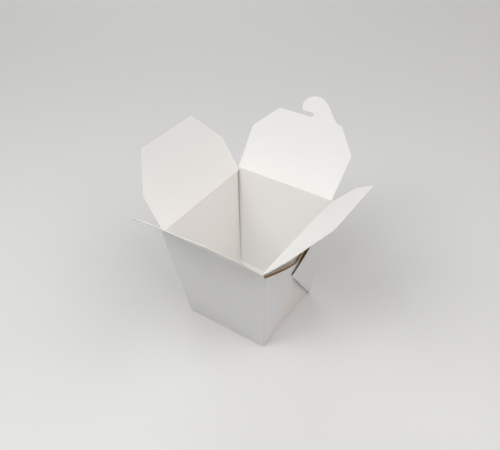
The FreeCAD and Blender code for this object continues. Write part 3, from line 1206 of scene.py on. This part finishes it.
@dataclass(frozen=True)
class BoardFlap:
    """One flap of board that turns on its crease.

    Curl bends its far edge, cup bends both its sides, and twist bends one far corner and bends the other the
    opposite way, all as offsets in millimetres towards its outer face. A lift bends its left or right side
    towards its inner face, and grows to its full size over the reach divided by the lift ramp.
    """

    node: str
    joint: str
    slot: str
    outline: FlapOutline
    outwards: Vector
    curl: float = 0.0
    cup: float = 0.0
    twist: float = 0.0
    left_lift: float = 0.0
    right_lift: float = 0.0
    lift_ramp: float = 5.0
    seed: float = 0.0

    @property
    def origin(self) -> Vector:
        """The middle of the crease, in metres."""
        return Vector(joint_named(self.joint)["pos_m"])

    @property
    def along(self) -> Vector:
        """The direction of the crease."""
        return Vector((1, 0, 0)) if self.outwards.y else Vector((0, 1, 0))

    def away(self) -> Vector:
        """Find the flap's own direction in the frame.

        Returns:
            The direction from the middle of its crease to the middle of its node.
        """
        points = [vertex.co for vertex in frame["nodes"][self.node].data.vertices]
        centre = sum(points, Vector((0, 0, 0))) / len(points) - self.origin
        if self.outwards.y:
            centre.x = 0
        else:
            centre.y = 0
        return centre.normalized()

    def grid_points(self, outline: Sequence[Vector]) -> list[Vector]:
        """Spread points evenly inside an outline, clear of its rim.

        Args:
            outline: the outline's points.

        Returns:
            The points inside it.
        """
        points = []
        for row in range(1, int((self.outline.reach + HOOK_ROOM) / POINT_SPACING)):
            shift = POINT_SPACING / 2 if row % 2 else 0.0
            for column in range(-HALF_COLUMNS, HALF_COLUMNS + 1):
                point = Vector((column * POINT_SPACING + shift, row * POINT_SPACING * ROW_PITCH))
                if inside(point, outline) and clearance(point, outline) > POINT_SPACING * RIM_CLEAR:
                    points.append(point)
        return points

    def flat_mesh(self) -> bpy.types.Object:
        """Lay the flap flat, as a fine triangle mesh that can bend.

        Returns:
            The flat flap, in the plane of X and Y.
        """
        outline, slit = self.outline.points(), self.outline.slit_points()
        grid = self.grid_points(outline)
        loops = [list(range(len(outline)))]
        if slit:
            grid = [point for point in grid if clearance(point, slit) > SLIT_CLEAR]
            start = len(outline) + len(grid)
            loops.append(list(range(start, start + len(slit))))
        flat, _, triangles, *_ = delaunay_2d_cdt(outline + grid + slit, [], loops, 1, WELD)
        faces = []
        for triangle in triangles:
            centre = sum((flat[index] for index in triangle), Vector((0, 0))) / 3
            if inside(centre, outline) and not (slit and inside(centre, slit)):
                faces.append(triangle)
        return new_piece(self.node + "_board", [Vector((p.x * MM, p.y * MM, 0)) for p in flat], faces)

    def build(self, tree: bpy.types.NodeTree, materials: dict[Face, bpy.types.Material]) -> bpy.types.Object:
        """Bend the flat flap, hang it on its crease and give it its thickness.

        Args:
            tree: the nodes that hang a flap.
            materials: the material of each face of the board.

        Returns:
            The finished flap.
        """
        piece = self.flat_mesh()
        away = self.away()
        outer = self.along.cross(away)
        if outer.dot(self.outwards) < 0:
            outer = -outer
        grow(piece, "hang", tree, {
            "Origin": self.origin, "Along": self.along, "Away": away, "Outer": outer,
            "Reach": self.outline.reach * MM, "Half Width": self.outline.half_shoulder * MM,
            "Curl": self.curl * MM, "Cup": self.cup * MM, "Twist": self.twist * MM,
            "Left Lift": self.left_lift * MM, "Right Lift": self.right_lift * MM,
            "Lift Ramp": self.lift_ramp, "Seed": self.seed, "Outside": materials[Face.OUTSIDE],
            "Inside": materials[Face.INSIDE], "Cut Edge": materials[Face.CUT_EDGE]})
        work = bmesh.new()
        work.from_mesh(piece.data)
        bmesh.ops.recalc_face_normals(work, faces=work.faces)
        work.to_mesh(piece.data)
        work.free()
        shade(piece)
        return piece


def hang_tree() -> bpy.types.NodeTree:
    """Geometry Nodes that bend a flat flap, hang it on its crease and thicken it.

    Returns:
        The node tree.
    """
    lift_slope, lift_start, middle = 1.4, 0.4, 0.5
    number, vector, material = "NodeSocketFloat", "NodeSocketVector", "NodeSocketMaterial"
    sheet, entry, exit_node = new_group(
        "hang_flap", "GeometryNodeTree",
        {"Geometry": ("NodeSocketGeometry", None), "Origin": (vector, None), "Along": (vector, None),
         "Away": (vector, None), "Outer": (vector, None), "Reach": (number, 0.05),
         "Half Width": (number, 0.04), "Curl": (number, 0.0), "Cup": (number, 0.0), "Twist": (number, 0.0),
         "Left Lift": (number, 0.0), "Right Lift": (number, 0.0), "Lift Ramp": (number, 5.0),
         "Wave Scale": (number, 38.0), "Wave Height": (number, 0.0006), "Seed": (number, 0.0),
         "Board": (number, BOARD * MM), "Outside": (material, None), "Inside": (material, None),
         "Cut Edge": (material, None)},
        {"Geometry": "NodeSocketGeometry"})
    value = entry.outputs
    flat = sheet.add("ShaderNodeSeparateXYZ", {0: sheet.add("GeometryNodeInputPosition").outputs[0]}).outputs
    across = sheet.math("DIVIDE", flat["X"], value["Half Width"])
    along = sheet.math("DIVIDE", flat["Y"], value["Reach"])
    along_square = sheet.math("MULTIPLY", along, along)
    across_square = sheet.math("MULTIPLY", across, across)
    root_fade = sheet.math("MINIMUM", along, 1.0)

    steady = sheet.math("MINIMUM", sheet.math("MULTIPLY", along, value["Lift Ramp"]), 1.0)
    ramp = sheet.math("MULTIPLY", steady, steady)
    lifts = []
    for slope, name in ((-lift_slope, "Left Lift"), (lift_slope, "Right Lift")):
        reach = sheet.math("MAXIMUM", sheet.math("MULTIPLY_ADD", across, slope, -lift_start), 0.0)
        share = sheet.math("MULTIPLY", sheet.math("MULTIPLY", reach, reach), ramp)
        lifts.append(sheet.math("MULTIPLY", share, value[name]))
    lift = sheet.math("ADD", *lifts)

    curl = sheet.math("MULTIPLY", along_square, value["Curl"])
    cup = sheet.math("MULTIPLY", sheet.math("MULTIPLY", across_square, value["Cup"]), root_fade)
    twist = sheet.math("MULTIPLY", sheet.math("MULTIPLY", across, value["Twist"]), along_square)
    seeded = sheet.add("ShaderNodeCombineXYZ", {"X": flat["X"], "Y": flat["Y"], "Z": value["Seed"]})
    uneven = sheet.add("ShaderNodeTexNoise", {"Vector": seeded.outputs[0], "Scale": value["Wave Scale"],
                                              "Detail": 1.0})
    wave = sheet.math("MULTIPLY", sheet.math("SUBTRACT", uneven.outputs[0], middle), value["Wave Height"])
    waved = sheet.math("MULTIPLY", wave, root_fade)
    bent = sheet.math("ADD", sheet.math("ADD", curl, cup), sheet.math("ADD", twist, waved))
    off = sheet.math("SUBTRACT", bent, lift)

    place = value["Origin"]
    for direction, length in (("Along", flat["X"]), ("Away", flat["Y"]), ("Outer", off)):
        place = sheet.vector_math("ADD", place, sheet.scaled(value[direction], length))
    half_board = sheet.math("MULTIPLY", value["Board"], 0.5)
    lowered = sheet.vector_math("SUBTRACT", place, sheet.scaled(value["Outer"], half_board))
    hung = sheet.add("GeometryNodeSetPosition", {"Geometry": value["Geometry"], "Position": lowered})
    raised = sheet.scaled(value["Outer"], value["Board"])
    thick = sheet.add("GeometryNodeExtrudeMesh", {"Mesh": hung.outputs[0], "Offset": raised,
                                                  "Offset Scale": 1.0, "Individual": False})
    under = sheet.add("GeometryNodeFlipFaces", {"Mesh": hung.outputs[0]})
    joined = sheet.add("GeometryNodeJoinGeometry")
    sheet.feed(joined.inputs[0], under.outputs[0])
    sheet.feed(joined.inputs[0], thick.outputs["Mesh"])
    closed = sheet.add("GeometryNodeMergeByDistance", {"Geometry": joined.outputs[0], "Distance": WELD})
    dressed = sheet.add("GeometryNodeRealizeInstances", {"Geometry": closed.outputs[0]})
    for chosen, name in ((True, "Inside"), (thick.outputs["Top"], "Outside"),
                         (thick.outputs["Side"], "Cut Edge")):
        dressed = sheet.add("GeometryNodeSetMaterial", {"Geometry": dressed.outputs[0], "Selection": chosen,
                                                        "Material": value[name]})
    sheet.feed(exit_node.inputs["Geometry"], dressed.outputs[0])
    return sheet.tree


def bead_tree() -> bpy.types.NodeTree:
    """Geometry Nodes that lay the pressed bead of a crease along a straight run.

    Returns:
        The node tree.
    """
    middle = 0.5
    number, vector = "NodeSocketFloat", "NodeSocketVector"
    sheet, entry, exit_node = new_group(
        "crease_bead", "GeometryNodeTree",
        {"Geometry": ("NodeSocketGeometry", None), "Start": (vector, None), "End": (vector, None),
         "Radius": (number, 0.0003), "Unevenness": (number, 0.12), "Noise Scale": (number, 320.0),
         "Material": ("NodeSocketMaterial", None)},
        {"Geometry": "NodeSocketGeometry"})
    value = entry.outputs
    run = sheet.add("GeometryNodeCurvePrimitiveLine", {"Start": value["Start"], "End": value["End"]})
    fine = sheet.add("GeometryNodeResampleCurve", {"Curve": run.outputs[0], "Count": BEAD_POINTS})
    place = sheet.add("GeometryNodeInputPosition").outputs[0]
    uneven = sheet.add("ShaderNodeTexNoise", {"Vector": place, "Scale": value["Noise Scale"], "Detail": 2.0})
    centred = sheet.math("SUBTRACT", uneven.outputs[0], middle)
    factor = sheet.math("MULTIPLY_ADD", centred, value["Unevenness"], 1.0)
    radius = sheet.math("MULTIPLY", factor, value["Radius"])
    section = sheet.add("GeometryNodeCurvePrimitiveCircle", {"Resolution": BEAD_SIDES, "Radius": 1.0})
    tube = sheet.add("GeometryNodeCurveToMesh", {"Curve": fine.outputs[0],
                                                 "Profile Curve": section.outputs[0],
                                                 "Scale": radius, "Fill Caps": True})
    real = sheet.add("GeometryNodeRealizeInstances", {"Geometry": tube.outputs[0]})
    dressed = sheet.add("GeometryNodeSetMaterial", {"Geometry": real.outputs[0],
                                                    "Material": value["Material"]})
    sheet.feed(exit_node.inputs["Geometry"], dressed.outputs[0])
    return sheet.tree


# ------------------------------------------------------------------------------------------------------------
# The whole carton and its setting
# ------------------------------------------------------------------------------------------------------------


@dataclass
class Carton:
    """The folded sheet and its four flaps."""

    sheet: CartonSheet = field(default_factory=CartonSheet)

    @staticmethod
    def flaps() -> list[BoardFlap]:
        """List the flaps.

        Returns:
            The four flaps, each with its own outline and the way its board has curled.
        """
        plain = dict(half_root=39.84, shoulder=33.5, reach=52.0, top=52.0)
        dust = FlapOutline(half_root=43.98, half_shoulder=43.98, shoulder=27.3, reach=53.9, top=52.8)
        front, back = Vector((0, -1, 0)), Vector((0, 1, 0))
        left, right = Vector((-1, 0, 0)), Vector((1, 0, 0))
        return [
            BoardFlap("hook_flap", "hook_flap_fold", "hook_flap_board",
                      FlapOutline(half_shoulder=41.54, hook=HookShape(), **plain), back, curl=0.6, cup=0.3,
                      seed=2.0),
            BoardFlap("slot_flap", "slot_flap_fold", "slot_flap_board",
                      FlapOutline(half_shoulder=40.54, slit=Slit(), **plain), front, twist=-1.2,
                      left_lift=-2.0, right_lift=0.5, lift_ramp=1.2, seed=5.0),
            BoardFlap("left_dust_flap", "left_dust_flap_fold", "left_flap_board", dust, left, curl=0.1,
                      seed=8.0),
            BoardFlap("right_dust_flap", "right_dust_flap_fold", "right_flap_board", dust, right, curl=0.4,
                      left_lift=0.9, lift_ramp=1.9, seed=11.0)]

    def build(self) -> None:
        """Build and dress every piece, and tie it to its body."""
        groups = {"fibres": fibre_group(), "marks": handling_group(), "folds": fold_group()}
        outside, inside_face, edge, gap_shade, shaded_edge, side_shade = (finish.material(groups) for finish in (
            OUTSIDE_FINISH, INSIDE_FINISH, EDGE_FINISH, WEB_GAP_SHADE_FINISH, SHADED_EDGE_FINISH, SIDE_WALL_SHADE_FINISH))
        # Painted shades: a warm shade on the side walls' outsides, a dark gap shade on the webs' hidden faces
        # and a tan shade on the sheet's cut edges.
        layers = {Layer.WALL: (outside, inside_face, shaded_edge), Layer.SIDE: (side_shade, inside_face, shaded_edge),
                  Layer.OUTER: (outside, gap_shade, shaded_edge), Layer.INNER: (gap_shade, gap_shade, shaded_edge)}
        self.add_sheet([material for faces in layers.values() for material in faces])
        dress = {Face.OUTSIDE: outside, Face.INSIDE: inside_face, Face.CUT_EDGE: edge}
        tree = hang_tree()
        bead = bead_tree()
        for flap in self.flaps():
            piece = flap.build(tree, dress)
            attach(piece, flap.node)
            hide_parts(flap.node)
            LOG.info("%s rides on %s, %d faces", piece.name, flap.node, len(piece.data.polygons))
            self.add_bead(flap, bead, inside_face)

    def add_sheet(self, materials: Sequence[bpy.types.Material]) -> None:
        """Build the folded sheet with its thickness.

        Args:
            materials: the outside, the inside and the cut edge of each layer, in the order of the layers.
        """
        piece = self.sheet.build()
        for material in materials:
            piece.data.materials.append(material)
        solid = piece.modifiers.new("board", "SOLIDIFY")
        solid.thickness = BOARD * MM
        solid.offset = 0.0
        solid.use_even_offset = False
        solid.material_offset = Face.INSIDE.value
        solid.material_offset_rim = Face.CUT_EDGE.value
        plain_mesh(piece)
        shade(piece)
        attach(piece, "carton")
        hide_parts("carton_body")
        LOG.info("%s rides on carton, %d faces", piece.name, len(piece.data.polygons))

    @staticmethod
    def add_bead(flap: BoardFlap, tree: bpy.types.NodeTree, material: bpy.types.Material) -> None:
        """Lay the pressed bead of one flap's crease.

        Args:
            flap: the flap.
            tree: the nodes that lay a bead.
            material: the bead's material.
        """
        half = flap.along * (flap.outline.half_root + BEAD_OVERRUN) * MM
        bead = new_piece(flap.node + "_crease", [flap.origin], [])
        grow(bead, "bead", tree, {"Start": flap.origin - half, "End": flap.origin + half,
                                  "Radius": BEAD_RADIUS * MM, "Material": material})
        shade(bead)
        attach(bead, "carton")
        LOG.info("%s rides on carton, %d faces", bead.name, len(bead.data.polygons))


@dataclass(frozen=True)
class Lamp:
    """A square soft box: its place and size in metres, power, colour and whether it hangs face down."""

    name: str
    place: Place
    power: float
    colour: Colour
    size: float = 1.0
    face_down: bool = False


LAMPS = (
    Lamp("behind_right_low", (0.94, 0.94, 0.70), 2.01, (1.0, 0.96, 0.95)),
    Lamp("behind_low", (0.0, 1.32, 0.70), 1.51, (1.0, 0.99, 0.99)),
    Lamp("behind_left_low", (-0.94, 0.94, 0.70), 6.21, (0.99, 1.0, 1.0)),
    Lamp("right_high", (0.86, 0.0, 1.23), 6.09, (1.0, 1.0, 1.0)),
    Lamp("behind_right_high", (0.61, 0.61, 1.23), 1.85, (1.0, 0.99, 1.0)),
    Lamp("front_left_high", (-0.61, -0.61, 1.23), 5.48, (0.99, 1.0, 1.0)),
    Lamp("floor_left", (-0.25, -0.6, 0.7), 2.25, (1.0, 0.96, 0.92), 0.5, True),
    Lamp("floor_right", (0.75, -0.3, 0.7), 1.05, (1.0, 0.85, 0.77), 0.5, True),
    Lamp("floor_front", (0.15, -0.35, 0.8), 2.36, (0.89, 0.95, 1.0), 0.5, True))


@dataclass(frozen=True)
class Studio:
    """Pale floor, soft light and the camera."""

    camera_place: Place = (0.1859, -0.2624, 0.3357)
    view_azimuth: float = 35.18
    view_elevation: float = 39.02
    roll: float = -1.54
    lens: float = 43.05
    sensor_width: float = 36.0
    nearest: float = 0.01
    aim_height: float = 0.05
    floor_colour: Colour = (0.712, 0.705, 0.692)
    floor_roughness: float = 0.85
    floor_grain: float = 260.0
    floor_relief: float = 0.0001
    floor_bump: float = 0.15
    floor_half: float = 1.1
    floor_clear: float = 0.62
    backdrop_colour: Colour = (1.0, 0.99, 0.975)
    backdrop_level: float = 0.58

    def build(self) -> None:
        """Set up the floor, the lights, the world and the camera."""
        self.add_floor()
        for lamp in LAMPS:
            self.add_lamp(lamp)
        self.add_world()
        self.add_camera()
        bpy.context.scene.view_settings.view_transform = "Standard"

    @staticmethod
    def seen_rays(sheet: NodeSheet) -> bpy.types.NodeSocket:
        """Tell the rays that show the backdrop from the rays that would carry its light to the carton.

        Args:
            sheet: the nodes of a material or of the world.

        Returns:
            A socket that is 1 on rays from the camera and in reflections or glass, and 0 on others.
        """
        rays = sheet.add("ShaderNodeLightPath").outputs
        seen = sheet.math("MAXIMUM", rays["Is Camera Ray"], rays["Is Glossy Ray"])
        return sheet.math("MAXIMUM", seen, rays["Is Transmission Ray"])

    def add_floor(self) -> None:
        """Lay a wide sheet of pale paper under the carton, which passes into the backdrop far from it."""
        half = self.floor_half
        corners = [Vector((x, y, 0)) for x, y in ((-half, -half), (half, -half), (half, half), (-half, half))]
        floor = new_piece("floor", corners, [(0, 1, 2, 3)])
        material = bpy.data.materials.new("floor_paper")
        material.use_nodes = True
        sheet = NodeSheet(material.node_tree)
        place = sheet.add("ShaderNodeTexCoord").outputs["Object"]
        grain = sheet.add("ShaderNodeTexNoise", {"Vector": place, "Scale": self.floor_grain, "Detail": 5.0})
        bump = sheet.add("ShaderNodeBump", {"Strength": self.floor_bump, "Distance": self.floor_relief,
                                            "Height": grain.outputs[0]})
        shader = sheet.add("ShaderNodeBsdfPrincipled", {"Base Color": (*self.floor_colour, 1.0),
                                                        "Roughness": self.floor_roughness,
                                                        "Normal": bump.outputs[0]})
        distance = sheet.add("ShaderNodeVectorMath", {0: place}, operation="LENGTH").outputs["Value"]
        far = sheet.add("ShaderNodeMapRange", {"Value": distance, "From Min": self.floor_clear,
                                               "From Max": self.floor_half}, interpolation_type="SMOOTHSTEP")
        share = sheet.math("MULTIPLY", far.outputs[0], self.seen_rays(sheet))
        glow = sheet.add("ShaderNodeEmission", {"Color": (*self.backdrop_colour, 1.0),
                                                "Strength": self.backdrop_level})
        surface = sheet.add("ShaderNodeMixShader", {0: share, 1: shader.outputs[0], 2: glow.outputs[0]})
        sheet.add("ShaderNodeOutputMaterial", {"Surface": surface.outputs[0]})
        floor.data.materials.append(material)

    def add_lamp(self, lamp: Lamp) -> None:
        """Hang a soft box, face down or facing the carton.

        Args:
            lamp: the soft box.
        """
        light = bpy.data.lights.new(lamp.name, "AREA")
        light.size = lamp.size
        light.energy = lamp.power
        light.color = lamp.colour
        holder = bpy.data.objects.new(lamp.name, light)
        holder.location = lamp.place
        if not lamp.face_down:
            aim = UP * self.aim_height - Vector(lamp.place)
            holder.rotation_euler = aim.to_track_quat("-Z", "Y").to_euler()
        bpy.context.scene.collection.objects.link(holder)

    def add_world(self) -> None:
        """Set a pale backdrop that only the camera and reflections see, so that only the lamps give light."""
        world = bpy.data.worlds.new("studio")
        world.use_nodes = True
        sheet = NodeSheet(world.node_tree)
        strength = sheet.math("MULTIPLY", self.seen_rays(sheet), self.backdrop_level)
        light = sheet.add("ShaderNodeBackground", {"Color": (*self.backdrop_colour, 1.0),
                                                   "Strength": strength})
        sheet.add("ShaderNodeOutputWorld", {"Surface": light.outputs[0]})
        bpy.context.scene.world = world

    def add_camera(self) -> None:
        """Place the camera, aimed by azimuth, elevation and roll."""
        azimuth, elevation, roll = (math.radians(angle) for angle in
                                    (self.view_azimuth, self.view_elevation, self.roll))
        back = Vector((math.sin(azimuth) * math.cos(elevation), -math.cos(azimuth) * math.cos(elevation),
                       math.sin(elevation)))
        level = UP.cross(back).normalized()
        upright = back.cross(level)
        right = level * math.cos(roll) + upright * math.sin(roll)
        top = upright * math.cos(roll) - level * math.sin(roll)
        camera = bpy.data.cameras.new("camera")
        camera.lens = self.lens
        camera.sensor_width = self.sensor_width
        camera.clip_start = self.nearest
        holder = bpy.data.objects.new("camera", camera)
        turn = Matrix((right, top, back)).transposed().to_4x4()
        holder.matrix_world = Matrix.Translation(self.camera_place) @ turn
        bpy.context.scene.collection.objects.link(holder)
        bpy.context.scene.camera = holder


def main() -> None:
    """Build the carton and its setting."""
    logging.basicConfig(level=logging.INFO, format="%(name)s: %(message)s")
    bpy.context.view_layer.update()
    Carton().build()
    Studio().build()


if __name__ == "__main__":
    main()
